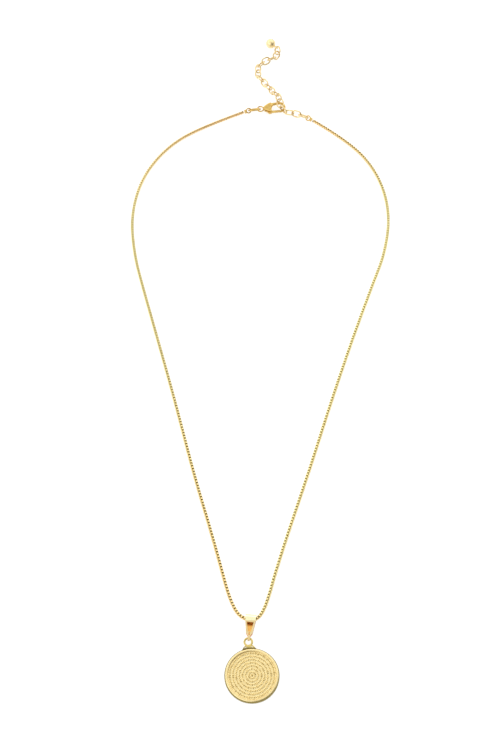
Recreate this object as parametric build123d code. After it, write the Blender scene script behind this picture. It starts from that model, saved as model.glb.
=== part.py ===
from build123d import *
import math
import os

# A fine gold necklace laid flat: a square box chain with a round medal on a folded bail,
# a lobster clasp and a short extender that ends in a ball. Millimetres, +Z up.
# The origin is the centre of the medal's back, and Z = 0 is the surface that it all lies on.

# Medal
MEDAL_DIAMETER = 16.5
MEDAL_EDGE_HEIGHT = 1.5
MEDAL_FIELD_HEIGHT = 1.12
RIM_WIDTH = 1.1
RIM_BEVEL = 0.35
BACK_BEVEL = 0.18
RELIEF_HEIGHT = 0.18
RELIEF_SINK = 0.1
RING_COUNT = 7
RELIEF_EDGE_GAP = 0.2
MARK_HEIGHT = 0.62
MARK_STROKE = 0.2
MARK_STEP = 0.5
MARK_TURN = 11.0
DOT_LENGTH = 0.3
DOT_WIDTH = 0.26
STROKE_TURNS = (0.0, 28.0, 0.0, -28.0)
STROKE_SHARES = (1.0, 0.9, 0.45, 0.9)
CENTRE_BOSS_RADIUS = 0.3

# Eye on the medal's top edge
EYE_LEAN = 6.1
EYE_OUTER_DIAMETER = 2.95
EYE_WIRE = 0.62
EYE_CENTRE_HEIGHT = 0.8
EYE_NECK = 0.8
EYE_BASE_WIDTH = 4.3
EYE_BASE_TOP_WIDTH = 2.6
EYE_BASE_THICKNESS = 0.8
EYE_SLOT_LENGTH = 0.9
EYE_SLOT_WIDTH = 0.26
EYE_SLOT_OFFSET = 1.0

# Bail
BAIL_STRAP = 0.3
BAIL_TOP_RADIUS = 1.4
BAIL_LENGTH = 5.85
BAIL_LEAN = -5.5
BAIL_WRAP_ANGLE = 82.0
BAIL_WIRE_GAP = 0.19
BAIL_TOP_WIDTH = 3.3
BAIL_LOW_WIDTH = 1.95
BAIL_WRAP_WIDTH = 0.65
BAIL_SHOULDER = 0.95
BAIL_WINDOW_TOP_WIDTH = 2.1
BAIL_WINDOW_LOW_WIDTH = 0.9
BAIL_WINDOW_START = 1.9
BAIL_WINDOW_END = 4.75
BAIL_WINDOW_DEPTH = 0.5
BAIL_SLIT_WIDTH = 0.4
BAIL_SLIT_START = 0.8
BAIL_SLIT_END = 1.6

# Box chain
CHAIN_SIDE = 1.0
CHAIN_REST = 0.51
CHAIN_LIFT = 1.27
CHAIN_END_LIFT = 1.2
CHAIN_ROUND_SHARE = 0.45

# Chain ends
CAP_SIDE = 1.15
CAP_LENGTH = 0.7
CAP_EDGE = 0.24
CAP_GAP = 0.1
END_RING_DIAMETER = 2.1
END_RING_WIRE = 0.4
END_RING_SINK = 0.15
END_RING_SEAT = 0.05
LEFT_END_ROLL = -45.0
RIGHT_END_ROLL = 42.0

# Jump rings
CLASP_RING_LENGTH = 4.8
CLASP_RING_WIDTH = 3.4
CLASP_RING_WIRE = 0.6
CLASP_RING_HEADING = 8.6
CLASP_RING_ROLL = 45.0
CLASP_RING_HEIGHT = 1.32
EXTENDER_RING_LENGTH = 4.15
EXTENDER_RING_WIDTH = 3.2
EXTENDER_RING_WIRE = 0.55
EXTENDER_RING_ROLL = 42.0

# Extender links
LINK_LENGTH = 3.8
LINK_WIDTH = 2.8
LINK_WIRE = 0.5
LINK_GAP = 0.15
TAIL_SLACK = 0.2
RIGHT_LINK_COUNT = 2
HOOKED_HEADING = -42.0
HOOKED_TILT = 20.0
HOOKED_HEIGHT = 1.58
RIGHT_LINK_HEIGHT = 1.28
RIGHT_LINK_ROLLS = (12.0, -62.0)
TAIL_FIRST_ROLLS = (-4.0, 50.0, -34.0, 58.0, -35.0, 50.0)
TAIL_ROLL = 45.0

# Search for where the links lie
FIT_STEP = 1e-7
MOST_BEND = 300.0

# Ball at the free end
BALL_DIAMETER = 3.5
BALL_EYE_DIAMETER = 2.0
BALL_EYE_WIRE = 0.4
BALL_EYE_SINK = 0.15
BALL_HEADING = 145.0

# Clasp, in its own plane: x runs from the eye to the nose, y to the hook's back
CLASP_TILT = 6.2
CLASP_HEIGHT = 1.3
CLASP_EYE_X = -5.8
CLASP_EYE_HOLE = 1.8
CLASP_EYE_RIM = 0.45
CLASP_EYE_THICKNESS = 0.55
CLASP_EYE_EDGE = 0.2
CLASP_EYE_SEAT = 0.1
NECK_WIDTH = 1.3
TAIL_RADIUS = 1.0
SHOULDER_X = -1.6
SHOULDER_RADIUS = 2.1
HOOK_ROUND_X = 1.3
HOOK_INNER_RADIUS = 1.4
HOOK_WALL = 0.8
HOOK_THICKNESS = 1.0
HOOK_EDGE = 0.28
OPENING_BACK_X = -1.5
OPENING_BACK_RADIUS = 1.2
HOUSING_THICKNESS = 1.9
HOUSING_START_X = -4.7
HOUSING_END_X = -1.75
HOUSING_EDGE = 0.3
PIVOT_X = -3.3
PIVOT_Y = -0.85
PIN_RADIUS = 0.3
PIN_CLEARANCE = 0.05
LEVER_THICKNESS = 0.6
LEVER_SIDE_GAP = 0.06
LEVER_SLOT_GAP = 0.12
LEVER_BOSS_RADIUS = 0.62
LEVER_TOP_Y = -1.42
LEVER_LOW_Y = -2.1
LAP_X = 0.75
LAP_GAP = 0.1
LEVER_TIP_X = 1.2
LEVER_TIP_GAP = 0.15
TAB_OFFSET = 0.75
TAB_RADIUS = 0.4

# Points that the box chain's middle line passes, from its left end round to its right end.
# Each arc between them passes a little inside its point.
BOX_CHAIN_ROUTE = [
    (-2.6, 207.0, CHAIN_END_LIFT),
    (-16.6, 201.4, CHAIN_REST),
    (-29.5, 193.0, CHAIN_REST),
    (-38.8, 179.6, CHAIN_REST),
    (-42.5, 163.0, CHAIN_REST),
    (-40.7, 146.2, CHAIN_REST),
    (-36.5, 130.7, CHAIN_REST),
    (-30.6, 109.8, CHAIN_REST),
    (-24.6, 88.1, CHAIN_REST),
    (-18.6, 64.8, CHAIN_REST),
    (-12.6, 44.6, CHAIN_REST),
    (-9.0, 31.4, CHAIN_REST),
    (-7.0, 24.2, CHAIN_REST),
    (-4.6, 19.1, CHAIN_REST),
    (-2.3, 17.2, CHAIN_LIFT),
    (-0.2, 16.8, CHAIN_LIFT),
    (2.0, 17.3, CHAIN_LIFT),
    (3.8, 20.3, CHAIN_REST),
    (5.5, 25.3, CHAIN_REST),
    (7.4, 32.3, CHAIN_REST),
    (11.9, 46.4, CHAIN_REST),
    (18.6, 66.4, CHAIN_REST),
    (25.8, 89.3, CHAIN_REST),
    (33.3, 111.8, CHAIN_REST),
    (40.9, 133.0, CHAIN_REST),
    (46.6, 148.0, CHAIN_REST),
    (48.8, 164.8, CHAIN_REST),
    (44.9, 181.2, CHAIN_REST),
    (35.4, 194.3, CHAIN_REST),
    (22.1, 203.3, CHAIN_END_LIFT),
]

# Points along the free part of the extender, after the hooked link
TAIL_ROUTE = [
    (10.2, 211.7, 3.45),
    (9.2, 214.3, 2.6),
    (7.4, 216.3, 1.5),
    (5.9, 218.9, 1.25),
    (4.5, 220.7, 1.15),
    (3.0, 222.8, 1.15),
    (2.1, 224.9, 1.12),
    (2.3, 227.3, 1.12),
    (3.8, 229.6, 1.12),
    (5.8, 230.9, 1.12),
    (8.1, 231.8, 1.12),
    (9.9, 233.1, 1.15),
    (10.1, 234.9, 1.2),
    (9.5, 236.9, 1.25),
]


def heading(angle, tilt=0.0):
    """Unit vector at an angle from +X, tilted up by another angle."""
    flat = math.cos(math.radians(tilt))
    return Vector(
        flat * math.cos(math.radians(angle)),
        flat * math.sin(math.radians(angle)),
        math.sin(math.radians(tilt)),
    )


def frame_along(centre, direction, roll):
    """Plane whose x runs along direction, rolled about it from lying flat."""
    along = Vector(direction).normalized()
    side = Vector(0, 0, 1).cross(along).normalized()
    up = along.cross(side)
    turn = math.radians(roll)
    normal = up * math.cos(turn) + side * math.sin(turn)
    return Plane(origin=centre, x_dir=along, z_dir=normal)


def oval_ring(length, width, wire):
    """Closed oval of round wire about the origin, its length along x."""
    radius = (width - wire) / 2
    half_run = (length - width) / 2
    if half_run > 0:
        path = Wire(
            [
                Edge.make_line((-half_run, -radius), (half_run, -radius)),
                Edge.make_three_point_arc((half_run, -radius), (half_run + radius, 0), (half_run, radius)),
                Edge.make_line((half_run, radius), (-half_run, radius)),
                Edge.make_three_point_arc((-half_run, radius), (-half_run - radius, 0), (-half_run, -radius)),
            ]
        )
        return sweep(Plane((0, -radius, 0), x_dir=(0, 1, 0), z_dir=(1, 0, 0)) * Circle(wire / 2), path=path)
    return Torus(radius, wire / 2)


def ring_between(start, end, length, width, wire, roll):
    """Oval ring whose middle and length follow two points."""
    middle = (start + end) / 2
    return frame_along(middle, end - start, roll) * oval_ring(length, width, wire)


def walk_points(route, pitch):
    """Points a pitch apart in a straight line, stepped along a route."""
    points = [route[0]]
    segment = 0
    while segment < len(route) - 1:
        here = points[-1]
        if (route[segment + 1] - here).length < pitch:
            segment += 1
            continue
        low = 0.0
        high = 1.0
        start = route[segment]
        run = route[segment + 1] - start
        while high - low > FIT_STEP:
            middle = (low + high) / 2
            if (start + run * middle - here).length < pitch:
                low = middle
            else:
                high = middle
        points.append(start + run * high)
    return points


def bowed_points(start, end, lengths):
    """Corners of a chain of given lengths that spans two points in an even bow."""
    span = (end - start).length
    count = len(lengths)

    def corners(bend):
        places = [Vector(0, 0, 0)]
        for index, length in enumerate(lengths):
            turn = bend * ((count - 1) / 2 - index)
            places.append(places[-1] + heading(turn) * length)
        return places

    low = 0.0
    high = MOST_BEND / count
    while high - low > FIT_STEP:
        middle = (low + high) / 2
        if corners(middle)[-1].length > span:
            low = middle
        else:
            high = middle
    places = corners(low)
    reach = places[-1]
    spare_turn = math.degrees(math.atan2(reach.Y, reach.X))
    base = math.degrees(math.atan2(end.Y - start.Y, end.X - start.X)) - spare_turn
    points = []
    for place in places:
        turned = place.rotate(Axis.Z, base)
        share = (turned.X * (end.X - start.X) + turned.Y * (end.Y - start.Y)) / span**2
        points.append(Vector(start.X + turned.X, start.Y + turned.Y, start.Z + share * (end.Z - start.Z)))
    return points


# Medal with rim, relief and eye


def relief_marks(field_radius):
    """Small raised strokes and dots in rings, an ornament with no letters."""
    marks = []
    ring_pitch = (field_radius - RELIEF_EDGE_GAP - MARK_HEIGHT / 2) / RING_COUNT
    low = MEDAL_FIELD_HEIGHT - RELIEF_SINK
    height = RELIEF_HEIGHT + RELIEF_SINK
    at_base = (Align.CENTER, Align.CENTER, Align.MIN)
    for ring in range(1, RING_COUNT + 1):
        radius = ring * ring_pitch
        count = round(2 * math.pi * radius / MARK_STEP)
        for place in range(count):
            kind = (place * 5 + ring) % (len(STROKE_TURNS) + 2)
            if kind < len(STROKE_TURNS):
                turn = STROKE_TURNS[kind]
                mark = Box(MARK_HEIGHT * STROKE_SHARES[kind], MARK_STROKE, height, align=at_base)
            else:
                turn = 90.0
                mark = Box(DOT_LENGTH, DOT_WIDTH, height, align=at_base)
            angle = 360 * place / count + MARK_TURN * ring
            marks.append(Rot(0, 0, angle) * Pos(radius, 0, low) * Rot(0, 0, turn) * mark)
    return marks


def make_medal():
    radius = MEDAL_DIAMETER / 2
    field_radius = radius - RIM_WIDTH
    disc = Cylinder(radius, MEDAL_EDGE_HEIGHT, align=(Align.CENTER, Align.CENTER, Align.MIN))
    disc = chamfer(disc.edges().group_by(Axis.Z)[-1], RIM_BEVEL)
    disc = chamfer(disc.edges().group_by(Axis.Z)[0], BACK_BEVEL)
    well_depth = MEDAL_EDGE_HEIGHT - MEDAL_FIELD_HEIGHT
    well = Pos(0, 0, MEDAL_FIELD_HEIGHT) * Cone(
        field_radius,
        field_radius + RIM_BEVEL / 2,
        well_depth,
        align=(Align.CENTER, Align.CENTER, Align.MIN),
    )
    disc -= well
    boss = Pos(0, 0, MEDAL_FIELD_HEIGHT - RELIEF_SINK) * Cylinder(
        CENTRE_BOSS_RADIUS,
        RELIEF_HEIGHT + RELIEF_SINK,
        align=(Align.CENTER, Align.CENTER, Align.MIN),
    )
    disc = disc.fuse(boss, *relief_marks(field_radius))
    return disc + make_eye()


def eye_centre():
    reach = MEDAL_DIAMETER / 2 + EYE_NECK + EYE_OUTER_DIAMETER / 2 - EYE_WIRE / 2
    return heading(90 + EYE_LEAN) * reach + Vector(0, 0, EYE_CENTRE_HEIGHT)


def make_eye():
    ring = Torus((EYE_OUTER_DIAMETER - EYE_WIRE) / 2, EYE_WIRE / 2)
    low = -EYE_OUTER_DIAMETER / 2 + EYE_WIRE / 2 - EYE_NECK - RIM_BEVEL
    high = -EYE_OUTER_DIAMETER / 2 + EYE_WIRE / 2
    base = Polygon(
        (-EYE_BASE_WIDTH / 2, low),
        (EYE_BASE_WIDTH / 2, low),
        (EYE_BASE_TOP_WIDTH / 2, high),
        (-EYE_BASE_TOP_WIDTH / 2, high),
        align=None,
    )
    slots = Pos(0, -EYE_OUTER_DIAMETER / 2 + EYE_WIRE / 2 - EYE_NECK / 2) * (
        Pos(-EYE_SLOT_OFFSET, 0) * Rot(0, 0, 22) * SlotOverall(EYE_SLOT_LENGTH, EYE_SLOT_WIDTH)
        + Pos(EYE_SLOT_OFFSET, 0) * Rot(0, 0, -22) * SlotOverall(EYE_SLOT_LENGTH, EYE_SLOT_WIDTH)
    )
    plate = extrude(base - slots, EYE_BASE_THICKNESS / 2, both=True)
    place = Pos(*eye_centre()) * Rot(0, 0, EYE_LEAN)
    return place * (ring + plate)


# Bail


def bail_frame():
    """Where the bail turns round the eye's wire, with x across and y along it."""
    wire_reach = (EYE_OUTER_DIAMETER - EYE_WIRE) / 2
    foot = eye_centre() + heading(BAIL_WRAP_ANGLE) * wire_reach
    return Plane(origin=(foot.X, foot.Y, 0), x_dir=tuple(heading(BAIL_LEAN)), z_dir=(0, 0, 1))


def loop_outline(low_radius, top_radius, low_height, top_height):
    """Closed outline round two circles, in the bail's side view."""
    return make_hull(
        (
            Pos(0, low_height) * Circle(low_radius)
            + Pos(BAIL_LENGTH, top_height) * Circle(top_radius)
        ).edges()
    )


def make_bail():
    low_radius = EYE_WIRE / 2 + BAIL_WIRE_GAP
    low_height = low_radius + BAIL_STRAP
    side = loop_outline(low_radius + BAIL_STRAP, BAIL_TOP_RADIUS, low_height, BAIL_TOP_RADIUS)
    side -= loop_outline(low_radius, BAIL_TOP_RADIUS - BAIL_STRAP, low_height, BAIL_TOP_RADIUS)
    side_plane = Plane(origin=(0, 0, 0), x_dir=(0, 1, 0), z_dir=(1, 0, 0))
    strap = extrude(side_plane * side, BAIL_TOP_WIDTH, both=True)
    top_y = BAIL_LENGTH + BAIL_TOP_RADIUS
    foot_y = -low_radius - BAIL_STRAP
    face = Polygon(
        (-BAIL_WRAP_WIDTH / 2, foot_y),
        (BAIL_WRAP_WIDTH / 2, foot_y),
        (BAIL_WRAP_WIDTH / 2, low_radius),
        (BAIL_LOW_WIDTH / 2, low_radius + BAIL_SHOULDER),
        (BAIL_TOP_WIDTH / 2, BAIL_LENGTH),
        (BAIL_TOP_WIDTH / 2, top_y),
        (-BAIL_TOP_WIDTH / 2, top_y),
        (-BAIL_TOP_WIDTH / 2, BAIL_LENGTH),
        (-BAIL_LOW_WIDTH / 2, low_radius + BAIL_SHOULDER),
        (-BAIL_WRAP_WIDTH / 2, low_radius),
        align=None,
    )
    strap &= extrude(face, 3 * BAIL_TOP_RADIUS)
    slit = Pos(0, (BAIL_SLIT_START + BAIL_SLIT_END) / 2) * Rectangle(
        BAIL_SLIT_WIDTH, BAIL_SLIT_END - BAIL_SLIT_START
    )
    strap -= Pos(0, 0, low_height) * extrude(slit, 2 * BAIL_TOP_RADIUS)
    return bail_frame() * (strap - bail_window(low_radius + BAIL_STRAP, low_height))


def bail_window(low_outer, low_height):
    """Tapered window through the sloping front leg."""
    rise = (BAIL_TOP_RADIUS + BAIL_TOP_RADIUS) - (low_height + low_outer)
    slope = math.degrees(math.atan2(rise, BAIL_LENGTH))
    window = Polygon(
        (-BAIL_WINDOW_LOW_WIDTH / 2, BAIL_WINDOW_START),
        (BAIL_WINDOW_LOW_WIDTH / 2, BAIL_WINDOW_START),
        (BAIL_WINDOW_TOP_WIDTH / 2, BAIL_WINDOW_END),
        (-BAIL_WINDOW_TOP_WIDTH / 2, BAIL_WINDOW_END),
        align=None,
    )
    cutter = extrude(window, BAIL_TOP_RADIUS)
    return Pos(0, 0, low_height + low_outer - BAIL_WINDOW_DEPTH) * Rot(slope, 0, 0) * cutter


# Box chain


def route_radii(points):
    """Largest arc at each corner that its two runs allow."""
    radii = []
    for before, corner, after in zip(points, points[1:], points[2:]):
        turn = (corner - before).get_angle(after - corner)
        shorter = min((corner - before).length, (after - corner).length)
        radii.append(CHAIN_ROUND_SHARE * shorter / math.tan(math.radians(turn / 2)))
    return radii


def make_box_chain():
    points = [Vector(*point) for point in BOX_CHAIN_ROUTE]
    radii = route_radii(points)
    print("box chain radii:", ", ".join(f"{radius:.1f}" for radius in radii))
    path = FilletPolyline(*points, radius=radii)
    start = frame_along(points[0], points[1] - points[0], 0)
    section = Plane(origin=points[0], x_dir=start.y_dir, z_dir=start.x_dir) * Rectangle(CHAIN_SIDE, CHAIN_SIDE)
    tube = sweep(section, path=path)
    print(f"box chain length {path.length:.2f}, volume {tube.volume:.2f},", end=" ")
    print(f"section times length {CHAIN_SIDE**2 * path.length:.2f}")
    return tube


def end_heading(end):
    """Direction that the box chain leaves its end in."""
    if end == "left":
        tip, before = BOX_CHAIN_ROUTE[0], BOX_CHAIN_ROUTE[1]
    else:
        tip, before = BOX_CHAIN_ROUTE[-1], BOX_CHAIN_ROUTE[-2]
    return Vector(tip), Vector(tip[0] - before[0], tip[1] - before[1], 0).normalized()


def end_ring_reach():
    return CAP_GAP + CAP_LENGTH + END_RING_DIAMETER / 2 - END_RING_SINK


def make_chain_end(end, roll):
    tip, along = end_heading(end)
    cap = Box(CAP_LENGTH, CAP_SIDE, CAP_SIDE)
    cap = fillet(cap.edges().filter_by(Axis.X), CAP_EDGE)
    cap_place = frame_along(tip + along * (CAP_GAP + CAP_LENGTH / 2), along, 0)
    ring = Torus((END_RING_DIAMETER - END_RING_WIRE) / 2, END_RING_WIRE / 2)
    ring_place = frame_along(tip + along * end_ring_reach(), along, roll)
    return cap_place * cap + ring_place * ring


def end_seat(end):
    """Where a jump ring's wire passes through a chain end's ring."""
    tip, along = end_heading(end)
    return tip + along * (end_ring_reach() + END_RING_SEAT)


# Clasp


def clasp_ring_points():
    start = end_seat("left")
    run = CLASP_RING_LENGTH - CLASP_RING_WIRE
    flat_start = Vector(start.X, start.Y, CLASP_RING_HEIGHT)
    return flat_start, flat_start + heading(CLASP_RING_HEADING) * run


def clasp_frame():
    """Plane of the clasp, with its origin in the middle of the hook's opening."""
    seat = clasp_ring_points()[1]
    reach = CLASP_EYE_SEAT - CLASP_EYE_X
    origin = Vector(seat.X, seat.Y, CLASP_HEIGHT) + heading(CLASP_TILT) * reach
    return Plane(origin=origin, x_dir=tuple(heading(CLASP_TILT)), z_dir=(0, 0, 1))


def hook_outline():
    """Outline of the clasp from above, from the nose back to the housing."""
    nose = Pos(HOOK_ROUND_X, 0) * Circle(HOOK_INNER_RADIUS + HOOK_WALL)
    shoulder = Pos(SHOULDER_X, 0) * Circle(SHOULDER_RADIUS)
    tail = Pos(HOUSING_START_X + TAIL_RADIUS, 0) * Circle(TAIL_RADIUS)
    return make_hull((nose + shoulder + tail).edges())


def opening_outline():
    nose = Pos(HOOK_ROUND_X, 0) * Circle(HOOK_INNER_RADIUS)
    back = Pos(OPENING_BACK_X + OPENING_BACK_RADIUS, 0) * Circle(OPENING_BACK_RADIUS)
    return make_hull((nose + back).edges())


def box_face(low_x, high_x, low_y, high_y):
    return Pos((low_x + high_x) / 2, (low_y + high_y) / 2) * Rectangle(high_x - low_x, high_y - low_y)


def rounded_plate(face, thickness, edge):
    plate = extrude(face, thickness / 2, both=True)
    rims = plate.edges().group_by(Axis.Z)
    return fillet(rims[0] + rims[-1], edge)


def lever_outline():
    """Lever from above: boss round the pin, arm, half-lapped tip and thumb tab."""
    lap_y = (LEVER_TOP_Y + LEVER_LOW_Y) / 2
    boss = Pos(PIVOT_X, PIVOT_Y) * Circle(LEVER_BOSS_RADIUS)
    arm = box_face(PIVOT_X, LAP_X, LEVER_LOW_Y, LEVER_TOP_Y)
    tip = box_face(LAP_X - LEVER_SIDE_GAP, LEVER_TIP_X, lap_y + LAP_GAP / 2, LEVER_TOP_Y)
    web = Polygon(
        (PIVOT_X, PIVOT_Y + LEVER_BOSS_RADIUS),
        (PIVOT_X + 3 * LEVER_BOSS_RADIUS, LEVER_TOP_Y),
        (PIVOT_X, LEVER_LOW_Y),
        align=None,
    )
    tab = Pos(PIVOT_X + TAB_OFFSET, LEVER_LOW_Y) * Circle(TAB_RADIUS)
    return boss + arm + tip + web + tab


def make_clasp_lever():
    lever = extrude(lever_outline(), LEVER_THICKNESS / 2, both=True)
    lever -= Pos(PIVOT_X, PIVOT_Y) * Cylinder(PIN_RADIUS + PIN_CLEARANCE, 2 * LEVER_THICKNESS)
    return clasp_frame() * lever


def make_clasp_body():
    ring_face = hook_outline() - opening_outline()
    lap_y = (LEVER_TOP_Y + LEVER_LOW_Y) / 2
    outside = -2 * (HOOK_INNER_RADIUS + HOOK_WALL)
    window = box_face(HOUSING_END_X, LAP_X + LEVER_SIDE_GAP, outside, 0)
    lap = box_face(LAP_X, LEVER_TIP_X + LEVER_TIP_GAP, lap_y - LAP_GAP / 2, 0)
    hook = rounded_plate(ring_face, HOOK_THICKNESS, HOOK_EDGE)
    hook -= extrude(window + lap, HOOK_THICKNESS, both=True)
    housing = rounded_plate(hook_outline(), HOUSING_THICKNESS, HOUSING_EDGE)
    housing &= extrude(
        box_face(2 * HOUSING_START_X, HOUSING_END_X, outside, -outside) - opening_outline(),
        HOUSING_THICKNESS,
        both=True,
    )
    neck_end = CLASP_EYE_X + CLASP_EYE_HOLE / 2 + CLASP_EYE_RIM / 2
    neck_face = box_face(neck_end, HOUSING_START_X + TAIL_RADIUS, -NECK_WIDTH / 2, NECK_WIDTH / 2)
    neck = extrude(neck_face, CLASP_EYE_THICKNESS / 2, both=True)
    eye_side = Circle(CLASP_EYE_HOLE / 2 + CLASP_EYE_RIM) - Circle(CLASP_EYE_HOLE / 2)
    eye = Pos(CLASP_EYE_X, 0) * rounded_plate(eye_side, CLASP_EYE_THICKNESS, CLASP_EYE_EDGE)
    slot_height = LEVER_THICKNESS / 2 + LEVER_SIDE_GAP
    slot_face = Pos(PIVOT_X, PIVOT_Y) * Circle(LEVER_BOSS_RADIUS + LEVER_SLOT_GAP) + Polygon(
        (PIVOT_X - LEVER_BOSS_RADIUS - LEVER_SLOT_GAP, outside),
        (HOUSING_END_X + LEVER_SLOT_GAP, outside),
        (HOUSING_END_X + LEVER_SLOT_GAP, PIVOT_Y + LEVER_BOSS_RADIUS),
        (PIVOT_X, PIVOT_Y + LEVER_BOSS_RADIUS + LEVER_SLOT_GAP),
        (PIVOT_X - LEVER_BOSS_RADIUS - LEVER_SLOT_GAP, PIVOT_Y),
        align=None,
    )
    body = hook + housing + neck + eye - extrude(slot_face, slot_height, both=True)
    pin = Pos(PIVOT_X, PIVOT_Y) * Cylinder(PIN_RADIUS, HOUSING_THICKNESS)
    return clasp_frame() * (body + pin)


# Extender


def hooked_points():
    """Ends of the link that the clasp holds: inside its opening, and outside."""
    plane = clasp_frame()
    wall_radius = HOOK_INNER_RADIUS + HOOK_WALL / 2
    wall = plane.from_local_coords(Vector(HOOK_ROUND_X, 0, 0) + heading(HOOKED_HEADING - CLASP_TILT) * wall_radius)
    middle = Vector(wall.X, wall.Y, HOOKED_HEIGHT)
    half = heading(HOOKED_HEADING, -HOOKED_TILT) * (link_pitch() / 2)
    return middle - half, middle + half


def link_pitch():
    return LINK_LENGTH - 2 * LINK_WIRE - LINK_GAP


def make_link(start, end, roll):
    return ring_between(start, end, LINK_LENGTH, LINK_WIDTH, LINK_WIRE, roll)


def right_run_points():
    """Link ends from the clasp to the extender's jump ring, and that ring's far end."""
    start = hooked_points()[1]
    seat = end_seat("right")
    ring_run = EXTENDER_RING_LENGTH - EXTENDER_RING_WIRE - (EXTENDER_RING_WIRE + LINK_GAP) / 2
    lengths = [link_pitch()] * RIGHT_LINK_COUNT + [ring_run]
    points = bowed_points(start, seat, lengths)
    print(f"extender's right run: {sum(lengths):.2f} of links over {(seat - start).length:.2f}")
    lifted = [Vector(point.X, point.Y, RIGHT_LINK_HEIGHT) for point in points[1:]]
    return [start] + lifted


def make_right_run():
    points = right_run_points()
    links = []
    for start, end, roll in zip(points, points[1:-1], RIGHT_LINK_ROLLS):
        links.append(make_link(start, end, roll))
    ring_end = points[-1]
    along = (ring_end - points[-2]).normalized()
    ring = ring_between(
        ring_end - along * (EXTENDER_RING_LENGTH - EXTENDER_RING_WIRE),
        ring_end,
        EXTENDER_RING_LENGTH,
        EXTENDER_RING_WIDTH,
        EXTENDER_RING_WIRE,
        EXTENDER_RING_ROLL,
    )
    return links, ring


def tail_points():
    hooked_end = hooked_points()[0]
    route = [Vector(*point) for point in TAIL_ROUTE]
    first_end = hooked_end + (route[0] - hooked_end).normalized() * link_pitch()
    return [hooked_end] + walk_points([first_end] + route[1:], link_pitch() - TAIL_SLACK)


def tail_roll(index):
    if index < len(TAIL_FIRST_ROLLS):
        return TAIL_FIRST_ROLLS[index]
    return TAIL_ROLL if index % 2 else -TAIL_ROLL


def make_tail():
    points = tail_points()
    return [make_link(start, end, tail_roll(index)) for index, (start, end) in enumerate(zip(points, points[1:]))]


def make_end_ball():
    """Ball with its eye, on the last link."""
    points = tail_points()
    joint = points[-1]
    radius = BALL_DIAMETER / 2
    eye_radius = (BALL_EYE_DIAMETER - BALL_EYE_WIRE) / 2
    eye_start = -(LINK_WIRE + LINK_GAP) / 2
    reach = eye_start + 2 * eye_radius + radius - BALL_EYE_SINK
    drop = radius - joint.Z
    tilt = math.degrees(math.asin(drop / reach))
    along = heading(BALL_HEADING, tilt)
    ball = Pos(*(joint + along * reach)) * Sphere(radius)
    eye_roll = tail_roll(len(points) - 1)
    eye_place = frame_along(joint + along * (eye_start + eye_radius), along, eye_roll)
    return ball + eye_place * Torus(eye_radius, BALL_EYE_WIRE / 2)


def make_clasp_ring():
    start, end = clasp_ring_points()
    return ring_between(start, end, CLASP_RING_LENGTH, CLASP_RING_WIDTH, CLASP_RING_WIRE, CLASP_RING_ROLL)


def make_pieces():
    hooked = make_link(*hooked_points(), 90)
    right_links, extender_ring = make_right_run()
    pieces = {
        "medal": make_medal(),
        "bail": make_bail(),
        "box_chain": make_box_chain(),
        "chain_end_left": make_chain_end("left", LEFT_END_ROLL),
        "chain_end_right": make_chain_end("right", RIGHT_END_ROLL),
        "clasp_ring": make_clasp_ring(),
        "clasp_body": make_clasp_body(),
        "clasp_lever": make_clasp_lever(),
        "extender_ring": extender_ring,
        "end_ball": make_end_ball(),
    }
    links = right_links[::-1] + [hooked] + make_tail()
    for number, link in enumerate(links, start=1):
        pieces[f"extender_link_{number:02d}"] = link
    return pieces


os.makedirs("parts", exist_ok=True)
for name, piece in make_pieces().items():
    export_step(piece, f"parts/{name}.step")
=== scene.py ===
import math

import bpy
from mathutils import Matrix, Vector


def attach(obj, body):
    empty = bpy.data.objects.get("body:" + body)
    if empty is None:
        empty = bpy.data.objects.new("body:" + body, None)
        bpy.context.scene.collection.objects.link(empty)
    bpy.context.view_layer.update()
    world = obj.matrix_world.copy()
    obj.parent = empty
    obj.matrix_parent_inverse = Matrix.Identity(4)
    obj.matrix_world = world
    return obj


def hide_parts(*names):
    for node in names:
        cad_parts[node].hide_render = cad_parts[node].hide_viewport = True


# A fine gold necklace laid flat, seen from above its lower end: real box links along the chain's
# route, a softly cast medal, and the bail, clasp, rings and links of the frame in gold.

MM = 0.001

# Camera, before the medal and tilted towards the clasp
CAMERA_PLACE = (-0.718 * MM, -95.426 * MM, 399.11 * MM)
CAMERA_TILT = 26.124
LENS = 42.849
SENSOR_HEIGHT = 24.0
CAMERA_NEAR = 10 * MM
CAMERA_FAR = 10000 * MM

# Box links: their size, and how the chain's line is followed
LINK_PITCH = 0.5 * MM
FLAT_LINK_LENGTH = 0.97 * MM
UPRIGHT_LINK_LENGTH = 0.78 * MM
LINK_WIDTH = 1.0 * MM
LINK_WALL = 0.14 * MM
LINK_DEPTH = 0.6 * MM
LINK_CORNER = 0.18 * MM
LINK_EDGE = 0.05 * MM
CORNER_STEPS = 3
CHAIN_RAISE = 0.03 * MM
CHAIN_START_GAP = 0.15 * MM
LINE_STEPS = 24

# Painted reflection tones of the chain at shares of its reach from the medal to the clasp: warm, lemon
# and warm again
CHAIN_REACH = 210 * MM
CHAIN_REFLECTION_TINTS = [
    (0.0, (1.0, 0.8, 0.72)),
    (0.25, (1.0, 0.88, 0.84)),
    (0.5, (1.0, 0.98, 1.0)),
    (0.8, (1.0, 1.0, 1.0)),
    (1.0, (1.0, 0.74, 0.72)),
]

# Its lower right strand gets a paler painted reflection tone, fading in over these distances from the
# middle and the medal
RIGHT_REFLECTION_TINT = (1.0, 0.95, 0.93)
STRAND_FADE = 6 * MM
RIGHT_REFLECTION_TOP = 110 * MM
RIGHT_REFLECTION_FULL = 60 * MM
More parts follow.
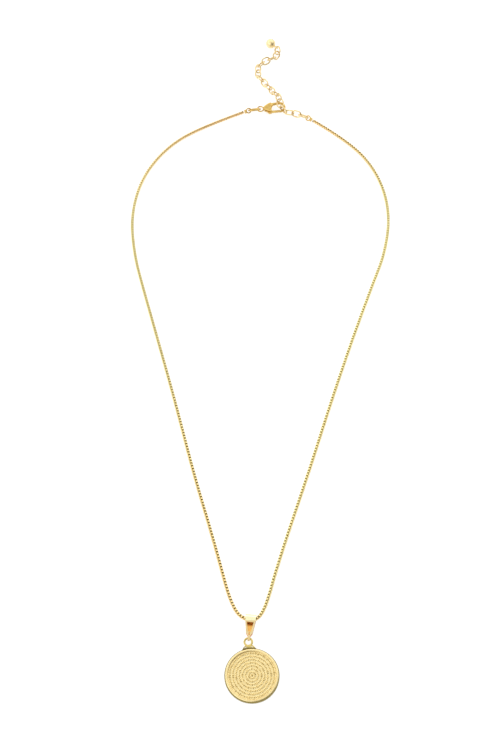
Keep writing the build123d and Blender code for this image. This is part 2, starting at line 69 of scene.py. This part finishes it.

# Painted shade inside the links: its usual tone, and the lighter painted shade of the right strand below
# its arc and of the left arc
USUAL_INSIDE_SHADE = (0.38, 0.28, 0.08)
RIGHT_INSIDE_SHADE = (0.5, 0.41, 0.15)
ARC_INSIDE_SHADE = (0.7, 0.55, 0.28)
RIGHT_ARC_START = 158 * MM
RIGHT_ARC_FULL = 172 * MM
LEFT_ARC_START = 160 * MM
LEFT_ARC_FULL = 180 * MM

# Scales and depths of the metal's patchy tone, its uneven polish and its fine grain
TONE_SCALE = 900.0
POLISH_SCALE = 2600.0
GRAIN_SCALE = 9000.0
GRAIN_DEPTH = 0.004 * MM
CAST_GRAIN_SCALE = 7000.0
CAST_GRAIN_DEPTH = 0.012 * MM
CAST_WAVE_SCALE = 1500.0
CAST_WAVE_DEPTH = 0.02 * MM

# Floor
FLOOR_REACH = 1500 * MM
FLOOR_DROP = 0.1 * MM
FLOOR_GREY = 0.4
FLOOR_GLOW = 0.75

# Light of the room by height, from level to straight up, and its dark side, to the right and behind
# the camera: how far towards it the light starts to fall, where it is lowest, and how low that is
ROOM_LIGHT = [(0.0, 0.2), (0.15, 0.3), (0.26, 1.9), (0.65, 1.9), (0.74, 1.0), (0.95, 1.05)]
DARK_SIDE = (0.7, -0.7, 0.0)
DARK_START = 0.45
DARK_FULL = 0.7
DARK_LEVEL = 0.12

# Clasp
CLASP_VOXEL = 0.06 * MM
CLASP_SMOOTH_STEPS = 60
LEVER_ROUNDING = 0.06 * MM
ROUNDED_ANGLE = 35.0
ROUNDING_STEPS = 2

# Bail: a point inside its fold, and the foot, fade and colour of the painted highlight on the band over
# the chain
BAIL_MIDDLE = Vector((-0.3 * MM, 16.6 * MM, 1.3 * MM))
BAIL_BAND_FOOT = 16.35 * MM
BAIL_BAND_FADE = 0.05 * MM
BAND_HIGHLIGHT = (0.94, 0.91, 0.56)
BAIL_ROUNDING = 0.05 * MM

# Medal: its cast copy, the rim's rounded shoulder, and where its painted shade and painted dark
# reflection start and are full. The marks' painted shade fades out again above them, so that the rim's
# top keeps its own.
MEDAL_VOXEL = 0.084 * MM
MEDAL_SMOOTH_STEPS = 2
RIM_RADIUS = 8.25 * MM
RIM_TOP = 1.5 * MM
SHOULDER = 0.7 * MM
MARK_FOOT = 1.16 * MM
MARK_TOP = 1.24 * MM
MARK_FADE = 1.3 * MM
MARK_FADE_END = 1.34 * MM
WALL_START = 7.9 * MM
WALL_FULL = 8.0 * MM
WALL_TOP = 1.42 * MM
WALL_TOP_FULL = 1.32 * MM
EYE_START = 8.3 * MM
EYE_FULL = 8.5 * MM
# Painted shade on the marks, a painted dark reflection on the rim's outer wall, painted shade on the eye
MARK_SHADE = (0.56, 0.41, 0.15)
WALL_DARK_REFLECTION = (0.28, 0.22, 0.07)
EYE_SHADE = (0.64, 0.5, 0.17)

# The chain's route from its left end round to its right end, in millimetres
CHAIN_ROUTE = [
    (-2.6, 207.0, 1.2),
    (-16.6, 201.4, 0.51),
    (-29.5, 193.0, 0.51),
    (-38.8, 179.6, 0.51),
    (-42.5, 163.0, 0.51),
    (-40.7, 146.2, 0.51),
    (-36.5, 130.7, 0.51),
    (-30.6, 109.8, 0.51),
    (-24.6, 88.1, 0.51),
    (-18.6, 64.8, 0.51),
    (-12.6, 44.6, 0.51),
    (-9.0, 31.4, 0.51),
    (-7.0, 24.2, 0.51),
    (-4.6, 19.1, 0.51),
    (-2.3, 17.2, 1.27),
    (-0.2, 16.8, 1.27),
    (2.0, 17.3, 1.27),
    (3.8, 20.3, 0.51),
    (5.5, 25.3, 0.51),
    (7.4, 32.3, 0.51),
    (11.9, 46.4, 0.51),
    (18.6, 66.4, 0.51),
    (25.8, 89.3, 0.51),
    (33.3, 111.8, 0.51),
    (40.9, 133.0, 0.51),
    (46.6, 148.0, 0.51),
    (48.8, 164.8, 0.51),
    (44.9, 181.2, 0.51),
    (35.4, 194.3, 0.51),
    (22.1, 203.3, 1.2),
]

# Turn of the chain about its own line, in degrees, at shares of its length
CHAIN_TURNS = [
    (0.0, 20.0),
    (0.1, 20.0),
    (0.17, -25.0),
    (0.36, -25.0),
    (0.46, -28.0),
    (0.5, -10.0),
    (0.54, -28.0),
    (0.64, -25.0),
    (0.84, -25.0),
    (0.91, 20.0),
    (1.0, 20.0),
]

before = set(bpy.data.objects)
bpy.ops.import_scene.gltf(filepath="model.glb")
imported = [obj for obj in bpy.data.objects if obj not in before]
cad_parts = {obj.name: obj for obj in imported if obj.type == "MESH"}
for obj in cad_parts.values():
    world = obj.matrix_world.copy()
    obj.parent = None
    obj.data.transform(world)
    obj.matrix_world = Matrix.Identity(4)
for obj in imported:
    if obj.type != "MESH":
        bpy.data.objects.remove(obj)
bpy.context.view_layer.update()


# Materials


def new_material(name):
    material = bpy.data.materials.new(name)
    material.use_nodes = True
    nodes = material.node_tree.nodes
    nodes.clear()
    output = nodes.new("ShaderNodeOutputMaterial")
    shader = nodes.new("ShaderNodeBsdfPrincipled")
    material.node_tree.links.new(shader.outputs["BSDF"], output.inputs["Surface"])
    return material, nodes, material.node_tree.links, shader


def noise(nodes, links, place, scale, detail=2.0, roughness=0.5):
    texture = nodes.new("ShaderNodeTexNoise")
    texture.inputs["Scale"].default_value = scale
    texture.inputs["Detail"].default_value = detail
    texture.inputs["Roughness"].default_value = roughness
    links.new(place, texture.inputs["Vector"])
    return texture.outputs["Fac"]


def ranged(nodes, links, value, low, high, from_low=0.3, from_high=0.7):
    spread = nodes.new("ShaderNodeMapRange")
    spread.inputs["From Min"].default_value = from_low
    spread.inputs["From Max"].default_value = from_high
    spread.inputs["To Min"].default_value = low
    spread.inputs["To Max"].default_value = high
    links.new(value, spread.inputs["Value"])
    return spread.outputs["Result"]


def fill_ramp(ramp, stops):
    """Colours at positions on a colour ramp, whose own two stops take the first and the last."""
    first, *between, last = stops
    for element, (position, colour) in zip(ramp.elements, (first, last)):
        element.position = position
        element.color = (*colour, 1.0)
    for position, colour in between:
        ramp.elements.new(position).color = (*colour, 1.0)


def reflection_tinted(nodes, links, colour, place):
    """The chain's painted reflection tone along the necklace, paler on its lower right strand."""
    parts = nodes.new("ShaderNodeSeparateXYZ")
    links.new(place, parts.inputs["Vector"])
    reach = nodes.new("ShaderNodeMapRange")
    reach.inputs["From Max"].default_value = CHAIN_REACH
    links.new(parts.outputs["Y"], reach.inputs["Value"])
    warmth = nodes.new("ShaderNodeValToRGB")
    fill_ramp(warmth.color_ramp, CHAIN_REFLECTION_TINTS)
    links.new(reach.outputs["Result"], warmth.inputs["Fac"])
    # Paler painted reflection tone on the lower right strand
    across = (parts.outputs["X"], 0.0, STRAND_FADE)
    lower = (parts.outputs["Y"], RIGHT_REFLECTION_TOP, RIGHT_REFLECTION_FULL)
    right = masked(nodes, links, across, lower)
    tint = toned(nodes, links, warmth.outputs["Color"], right, RIGHT_REFLECTION_TINT)
    tinted = nodes.new("ShaderNodeMix")
    tinted.data_type = "RGBA"
    tinted.blend_type = "MULTIPLY"
    tinted.inputs["Factor"].default_value = 1.0
    links.new(colour, tinted.inputs["A"])
    links.new(tint, tinted.inputs["B"])
    return tinted.outputs["Result"]


def masked(nodes, links, *ranges):
    """Product of ranged values: 1 where all of them hold."""
    product = None
    for value, start, end in ranges:
        share = ranged(nodes, links, value, 0.0, 1.0, start, end)
        if product is None:
            product = share
            continue
        both = nodes.new("ShaderNodeMath")
        both.operation = "MULTIPLY"
        links.new(product, both.inputs[0])
        links.new(share, both.inputs[1])
        product = both.outputs["Value"]
    return product


def toned(nodes, links, colour, share, tone):
    """The colour, with a share of another tone."""
    mixed = nodes.new("ShaderNodeMix")
    mixed.data_type = "RGBA"
    links.new(share, mixed.inputs["Factor"])
    links.new(colour, mixed.inputs["A"])
    mixed.inputs["B"].default_value = (*tone, 1.0)
    return mixed.outputs["Result"]


def painted_medal_shade(nodes, links, colour, place):
    """Painted shade on the medal's raised marks and its eye, and a painted dark reflection on the outer
    edge of its rim.
    """
    parts = nodes.new("ShaderNodeSeparateXYZ")
    links.new(place, parts.inputs["Vector"])
    x, y, z = (parts.outputs[axis] for axis in "XYZ")
    flat = nodes.new("ShaderNodeCombineXYZ")
    links.new(x, flat.inputs["X"])
    links.new(y, flat.inputs["Y"])
    radius = nodes.new("ShaderNodeVectorMath")
    radius.operation = "LENGTH"
    links.new(flat.outputs["Vector"], radius.inputs[0])
    marks = masked(nodes, links, (z, MARK_FOOT, MARK_TOP), (z, MARK_FADE_END, MARK_FADE))
    outside = (radius.outputs["Value"], WALL_START, WALL_FULL)
    wall = masked(nodes, links, outside, (z, WALL_TOP, WALL_TOP_FULL))
    eye = masked(nodes, links, (y, EYE_START, EYE_FULL))
    colour = toned(nodes, links, colour, marks, MARK_SHADE)
    colour = toned(nodes, links, colour, wall, WALL_DARK_REFLECTION)
    return toned(nodes, links, colour, eye, EYE_SHADE)


def painted_band_highlight(nodes, links, colour, place):
    """Painted highlight: pale gold on the bail's band over the chain."""
    parts = nodes.new("ShaderNodeSeparateXYZ")
    links.new(place, parts.inputs["Vector"])
    band = masked(nodes, links, (parts.outputs["Y"], BAIL_BAND_FOOT - BAIL_BAND_FADE, BAIL_BAND_FOOT))
    return toned(nodes, links, colour, band, BAND_HIGHLIGHT)


def gold(
    name,
    light,
    deep,
    roughness,
    grain_scale=GRAIN_SCALE,
    grain_depth=GRAIN_DEPTH,
    wave_scale=0.0,
    wave_depth=0.0,
    tone_change=None,
):
    """Plated gold: patchy tone, uneven polish and a fine grain. Without grain its polish is even too."""
    material, nodes, links, shader = new_material(name)
    place = nodes.new("ShaderNodeTexCoord").outputs["Object"]
    tone = nodes.new("ShaderNodeMix")
    tone.data_type = "RGBA"
    tone.inputs["A"].default_value = (*deep, 1.0)
    tone.inputs["B"].default_value = (*light, 1.0)
    patches = noise(nodes, links, place, TONE_SCALE, 3.0)
    links.new(ranged(nodes, links, patches, 0.0, 1.0), tone.inputs["Factor"])
    colour = tone.outputs["Result"]
    if tone_change:
        colour = tone_change(nodes, links, colour, place)
    links.new(colour, shader.inputs["Base Color"])
    shader.inputs["Metallic"].default_value = 1.0
    if not grain_depth:
        shader.inputs["Roughness"].default_value = roughness[0]
        return material
    polish = ranged(nodes, links, noise(nodes, links, place, POLISH_SCALE), *roughness)
    links.new(polish, shader.inputs["Roughness"])
    grain = nodes.new("ShaderNodeBump")
    grain.inputs["Distance"].default_value = grain_depth
    links.new(noise(nodes, links, place, grain_scale, 3.0, 0.6), grain.inputs["Height"])
    if wave_depth:
        wave = nodes.new("ShaderNodeBump")
        wave.inputs["Distance"].default_value = wave_depth
        links.new(noise(nodes, links, place, wave_scale, 1.0), wave.inputs["Height"])
        links.new(wave.outputs["Normal"], grain.inputs["Normal"])
    links.new(grain.outputs["Normal"], shader.inputs["Normal"])
    return material


def painted_shade_gold():
    """Painted shade inside the links, dark and without shine, lighter on the lower right strand and the
    upper left arc.
    """
    material, nodes, links, shader = new_material("gold_link_inside_painted_shade")
    parts = nodes.new("ShaderNodeSeparateXYZ")
    links.new(nodes.new("ShaderNodeTexCoord").outputs["Object"], parts.inputs["Vector"])
    inside = nodes.new("ShaderNodeMix")
    inside.data_type = "RGBA"
    inside.inputs["A"].default_value = (*USUAL_INSIDE_SHADE, 1.0)
    inside.inputs["B"].default_value = (*RIGHT_INSIDE_SHADE, 1.0)
    x, y = (parts.outputs[axis] for axis in "XY")
    lower_right = masked(nodes, links, (x, 0.0, STRAND_FADE), (y, RIGHT_ARC_FULL, RIGHT_ARC_START))
    links.new(lower_right, inside.inputs["Factor"])
    upper_left = masked(nodes, links, (x, 0.0, -STRAND_FADE), (y, LEFT_ARC_START, LEFT_ARC_FULL))
    colour = toned(nodes, links, inside.outputs["Result"], upper_left, ARC_INSIDE_SHADE)
    links.new(colour, shader.inputs["Base Color"])
    shader.inputs["Roughness"].default_value = 0.8
    shader.inputs["Specular IOR Level"].default_value = 0.0
    return material


GOLD = gold("gold_polished", (0.77, 0.55, 0.18), (0.6, 0.38, 0.11), (0.12, 0.24))
GOLD_LINK = gold("gold_link", (0.88, 0.76, 0.42), (0.66, 0.44, 0.2), (0.14, 0.26))
GOLD_BALL = gold("gold_ball", (0.94, 0.8, 0.48), (0.88, 0.7, 0.36), (0.4, 0.5))
# The bail's gold, with a painted highlight on its band
GOLD_BAIL = gold(
    "gold_bail",
    (0.84, 0.68, 0.36),
    (0.72, 0.54, 0.24),
    (0.12, 0.22),
    grain_depth=GRAIN_DEPTH / 2,
    tone_change=painted_band_highlight,
)
# Painted shade for the bail's inner faces
GOLD_BAIL_PAINTED_SHADE = gold(
    "gold_bail_inside_painted_shade", (0.95, 0.53, 0.14), (0.84, 0.45, 0.11), (0.2, 0.3), grain_depth=GRAIN_DEPTH / 2
)
# The chain's gold, with painted reflection tones along its length
GOLD_CHAIN = gold(
    "gold_chain", (0.97, 0.88, 0.45), (0.92, 0.8, 0.37), (0.29, 0.29), grain_depth=0.0, tone_change=reflection_tinted
)
# The medal's cast gold, with painted shade and a painted dark reflection
GOLD_CAST = gold(
    "gold_cast",
    (0.88, 0.73, 0.38),
    (0.82, 0.65, 0.31),
    (0.2, 0.36),
    CAST_GRAIN_SCALE,
    CAST_GRAIN_DEPTH,
    CAST_WAVE_SCALE,
    CAST_WAVE_DEPTH,
    painted_medal_shade,
)
# Painted shade for the links' insides
GOLD_PAINTED_SHADE = painted_shade_gold()


# Box links


def rounded_loop(half_x, half_y, corner, steps):
    """Corner points of a rounded rectangle, counter-clockwise, with their outward angles."""
    points = []
    for quarter, (side_x, side_y) in enumerate(((1, 1), (-1, 1), (-1, -1), (1, -1))):
        for step in range(steps):
            angle = math.radians(90 * quarter + 90 * step / (steps - 1))
            points.append(
                (
                    side_x * (half_x - corner) + corner * math.cos(angle),
                    side_y * (half_y - corner) + corner * math.sin(angle),
                    angle,
                )
            )
    return points


def link_template(length, painted_shade_ends):
    """Vertices, faces and face materials of one square link, its length along x and its flat along y.

    Its inner faces take painted shade. With the second flag set, its rounded corners and ends take
    painted shade too, and only its long sides stay bright.
    """
    path = rounded_loop(length / 2, LINK_WIDTH / 2, LINK_CORNER, CORNER_STEPS)
    section = [
        (-LINK_WALL, -LINK_DEPTH / 2 + LINK_EDGE),
        (-LINK_WALL + LINK_EDGE, -LINK_DEPTH / 2),
        (-LINK_EDGE, -LINK_DEPTH / 2),
        (0.0, -LINK_DEPTH / 2 + LINK_EDGE),
        (0.0, LINK_DEPTH / 2 - LINK_EDGE),
        (-LINK_EDGE, LINK_DEPTH / 2),
        (-LINK_WALL + LINK_EDGE, LINK_DEPTH / 2),
        (-LINK_WALL, LINK_DEPTH / 2 - LINK_EDGE),
    ]
    vertices = []
    for x, y, angle in path:
        for out, up in section:
            vertices.append(Vector((x + out * math.cos(angle), y + out * math.sin(angle), up)))
    faces = []
    shades = []
    around = len(path)
    sides = len(section)
    inner_side = sides - 1
    for turn in range(around):
        following = (turn + 1) % around
        for side in range(sides):
            beside = (side + 1) % sides
            faces.append(
                (
                    turn * sides + side,
                    following * sides + side,
                    following * sides + beside,
                    turn * sides + beside,
                )
            )
            # Painted shade on the inner faces, and on the corners and ends of links with shaded ends
            long_side = turn in (CORNER_STEPS - 1, 3 * CORNER_STEPS - 1)
            inside = side in (0, inner_side - 1, inner_side)
            shades.append(1 if inside or (painted_shade_ends and not long_side) else 0)
    return vertices, faces, shades


def route_line():
    """Closely spaced points on the chain's smooth line, with their distances along it."""
    curve = bpy.data.curves.new("chain_route", "CURVE")
    curve.dimensions = "3D"
    spline = curve.splines.new("NURBS")
    spline.points.add(len(CHAIN_ROUTE) - 1)
    for point, (x, y, z) in zip(spline.points, CHAIN_ROUTE):
        point.co = (x * MM, y * MM, z * MM, 1.0)
    spline.order_u = 3
    spline.use_endpoint_u = True
    spline.resolution_u = LINE_STEPS
    holder = bpy.data.objects.new("chain_route", curve)
    bpy.context.scene.collection.objects.link(holder)
    bpy.context.view_layer.update()
    line = bpy.data.meshes.new_from_object(holder)
    points = [vertex.co.copy() for vertex in line.vertices]
    bpy.data.objects.remove(holder)
    distances = [0.0]
    for before, after in zip(points, points[1:]):
        distances.append(distances[-1] + (after - before).length)
    return points, distances


def place_on_line(points, distances, reach):
    """Point on the line at a distance from its start."""
    low = 0
    high = len(points) - 1
    while high - low > 1:
        middle = (low + high) // 2
        if distances[middle] <= reach:
            low = middle
        else:
            high = middle
    share = (reach - distances[low]) / (distances[high] - distances[low])
    return points[low].lerp(points[high], share)


def turn_at(share):
    """The chain's turn at a share of its length, eased from one listed turn to the next."""
    for (start, start_turn), (end, end_turn) in zip(CHAIN_TURNS, CHAIN_TURNS[1:]):
        if share <= end:
            part = (share - start) / (end - start)
            smooth = part * part * (3 - 2 * part)
            return start_turn + (end_turn - start_turn) * smooth
    return CHAIN_TURNS[-1][1]


def make_box_links():
    """Every link of the chain as one mesh, each turned a quarter from the one before."""
    points, distances = route_line()
    length = distances[-1]
    templates = (link_template(FLAT_LINK_LENGTH, False), link_template(UPRIGHT_LINK_LENGTH, True))
    count = int((length - 2 * CHAIN_START_GAP - FLAT_LINK_LENGTH) / LINK_PITCH) + 1
    spare = length - (count - 1) * LINK_PITCH
    vertices = []
    faces = []
    shades = []
    for index in range(count):
        template, template_faces, template_shades = templates[index % 2]
        reach = spare / 2 + index * LINK_PITCH
        centre = place_on_line(points, distances, reach)
        ahead = place_on_line(points, distances, min(length, reach + LINK_PITCH))
        behind = place_on_line(points, distances, max(0.0, reach - LINK_PITCH))
        along = (ahead - behind).normalized()
        side = Vector((0, 0, 1)).cross(along).normalized()
        up = along.cross(side)
        turn = math.radians(turn_at(reach / length) + 90 * (index % 2))
        flat = side * math.cos(turn) + up * math.sin(turn)
        normal = along.cross(flat)
        spin = Matrix((along, flat, normal)).transposed()
        first = len(vertices)
        raised = centre + Vector((0, 0, CHAIN_RAISE))
        vertices.extend(spin @ vertex + raised for vertex in template)
        faces.extend(tuple(first + corner for corner in face) for face in template_faces)
        shades.extend(template_shades)
    mesh = bpy.data.meshes.new("box_links")
    mesh.from_pydata(vertices, [], faces)
    mesh.shade_smooth()
    mesh.update()
    links = bpy.data.objects.new("box_links", mesh)
    bpy.context.scene.collection.objects.link(links)
    # The second material is the painted shade of the links' insides, corners and ends
    mesh.materials.append(GOLD_CHAIN)
    mesh.materials.append(GOLD_PAINTED_SHADE)
    mesh.polygons.foreach_set("material_index", shades)
    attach(links, "necklace")
    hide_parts("box_chain")
    print("box links:", count, "over", round(length / MM, 1), "mm")


# Medal, bail and findings


def cast_copy(node, name, voxel, smooth_steps, material):
    """Soft cast copy of a piece: remeshed finely and smoothed."""
    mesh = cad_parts[node].data.copy()
    mesh.name = name
    copy = bpy.data.objects.new(name, mesh)
    bpy.context.scene.collection.objects.link(copy)
    remesh = copy.modifiers.new("remesh", "REMESH")
    remesh.mode = "VOXEL"
    remesh.voxel_size = voxel
    remesh.use_smooth_shade = True
    smooth = copy.modifiers.new("smooth", "SMOOTH")
    smooth.factor = 0.5
    smooth.iterations = smooth_steps
    bpy.context.view_layer.update()
    cast = bpy.data.meshes.new_from_object(copy.evaluated_get(bpy.context.evaluated_depsgraph_get()))
    copy.modifiers.clear()
    copy.data = cast
    cast.materials.clear()
    cast.materials.append(material)
    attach(copy, "necklace")
    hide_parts(node)
    print(name, "faces:", len(cast.polygons))
    return cast


def round_rim(mesh):
    """Rounded shoulder on the medal's outer edge."""
    for vertex in mesh.vertices:
        reach = math.hypot(vertex.co.x, vertex.co.y) - (RIM_RADIUS - SHOULDER)
        height = (vertex.co.z - (RIM_TOP - SHOULDER)) / SHOULDER
        if reach <= 0 or reach > SHOULDER or height <= 0:
            continue
        drop = SHOULDER - math.sqrt(SHOULDER * SHOULDER - reach * reach)
        vertex.co.z -= drop * height
    mesh.update()


def dress(node, material, bevel=0.0):
    """The material of a piece of the frame, and its rounded edges if it has any."""
    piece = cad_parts[node]
    piece.data.materials.clear()
    piece.data.materials.append(material)
    if bevel:
        rounding = piece.modifiers.new("rounding", "BEVEL")
        rounding.width = bevel
        rounding.segments = ROUNDING_STEPS
        rounding.limit_method = "ANGLE"
        rounding.angle_limit = math.radians(ROUNDED_ANGLE)
        rounding.harden_normals = True


def dress_bail():
    """Gold on the bail, with painted shade on the inner faces of its folded strap."""
    dress("bail", GOLD_BAIL, BAIL_ROUNDING)
    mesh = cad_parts["bail"].data
    mesh.materials.append(GOLD_BAIL_PAINTED_SHADE)
    for face in mesh.polygons:
        outward = face.center - BAIL_MIDDLE
        if face.normal.dot(outward) < 0:
            face.material_index = 1


def dress_findings():
    """Gold on the clasp's lever, the rings, the links, the chain's ends and the ball."""
    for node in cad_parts:
        if node in ("medal", "box_chain", "bail", "clasp_body"):
            continue
        if node == "end_ball":
            dress(node, GOLD_BALL)
        elif node == "clasp_lever":
            dress(node, GOLD, LEVER_ROUNDING)
        elif node.startswith("extender"):
            dress(node, GOLD_LINK)
        else:
            dress(node, GOLD)


# Floor, light and camera


def make_floor():
    """Plain pale floor, just under the necklace, that glows a little."""
    mesh = bpy.data.meshes.new("floor")
    corners = [
        (-FLOOR_REACH, -FLOOR_REACH, 0),
        (FLOOR_REACH, -FLOOR_REACH, 0),
        (FLOOR_REACH, FLOOR_REACH, 0),
        (-FLOOR_REACH, FLOOR_REACH, 0),
    ]
    mesh.from_pydata(corners, [], [(0, 1, 2, 3)])
    floor = bpy.data.objects.new("floor", mesh)
    bpy.context.scene.collection.objects.link(floor)
    floor.location.z = -FLOOR_DROP
    material, _, _, shader = new_material("floor_white")
    shader.inputs["Base Color"].default_value = (FLOOR_GREY, FLOOR_GREY, FLOOR_GREY, 1.0)
    shader.inputs["Roughness"].default_value = 0.9
    shader.inputs["Specular IOR Level"].default_value = 0.1
    shader.inputs["Emission Color"].default_value = (1.0, 1.0, 1.0, 1.0)
    shader.inputs["Emission Strength"].default_value = FLOOR_GLOW
    mesh.materials.append(material)


def make_room_light():
    """Soft light from all round, with a dark side, before a backdrop that the camera sees as white."""
    world = bpy.data.worlds.new("studio")
    world.use_nodes = True
    bpy.context.scene.world = world
    nodes = world.node_tree.nodes
    links = world.node_tree.links
    room = nodes["Background"]
    toward = nodes.new("ShaderNodeTexCoord").outputs["Generated"]
    parts = nodes.new("ShaderNodeSeparateXYZ")
    links.new(toward, parts.inputs["Vector"])
    height = nodes.new("ShaderNodeValToRGB")
    fill_ramp(height.color_ramp, [(position, (level, level, level)) for position, level in ROOM_LIGHT])
    links.new(parts.outputs["Z"], height.inputs["Fac"])
    links.new(height.outputs["Color"], room.inputs["Color"])
    aside = nodes.new("ShaderNodeVectorMath")
    aside.operation = "DOT_PRODUCT"
    links.new(toward, aside.inputs[0])
    aside.inputs[1].default_value = DARK_SIDE
    strength = ranged(nodes, links, aside.outputs["Value"], 1.0, DARK_LEVEL, DARK_START, DARK_FULL)
    links.new(strength, room.inputs["Strength"])
    backdrop = nodes.new("ShaderNodeBackground")
    backdrop.inputs["Color"].default_value = (1.0, 1.0, 1.0, 1.0)
    seen = nodes.new("ShaderNodeMixShader")
    links.new(nodes.new("ShaderNodeLightPath").outputs["Is Camera Ray"], seen.inputs["Fac"])
    links.new(room.outputs["Background"], seen.inputs[1])
    links.new(backdrop.outputs["Background"], seen.inputs[2])
    links.new(seen.outputs["Shader"], nodes["World Output"].inputs["Surface"])


def make_camera():
    data = bpy.data.cameras.new("camera")
    data.sensor_fit = "VERTICAL"
    data.sensor_height = SENSOR_HEIGHT
    data.lens = LENS
    data.clip_start = CAMERA_NEAR
    data.clip_end = CAMERA_FAR
    camera = bpy.data.objects.new("camera", data)
    camera.location = CAMERA_PLACE
    camera.rotation_euler = (math.radians(CAMERA_TILT), 0.0, 0.0)
    bpy.context.scene.collection.objects.link(camera)
    bpy.context.scene.camera = camera


make_camera()
make_floor()
make_room_light()
make_box_links()
round_rim(cast_copy("medal", "cast_medal", MEDAL_VOXEL, MEDAL_SMOOTH_STEPS, GOLD_CAST))
cast_copy("clasp_body", "cast_clasp", CLASP_VOXEL, CLASP_SMOOTH_STEPS, GOLD)
dress_bail()
dress_findings()
bpy.context.scene.view_settings.view_transform = "Standard"
bpy.context.scene.view_settings.look = "None"
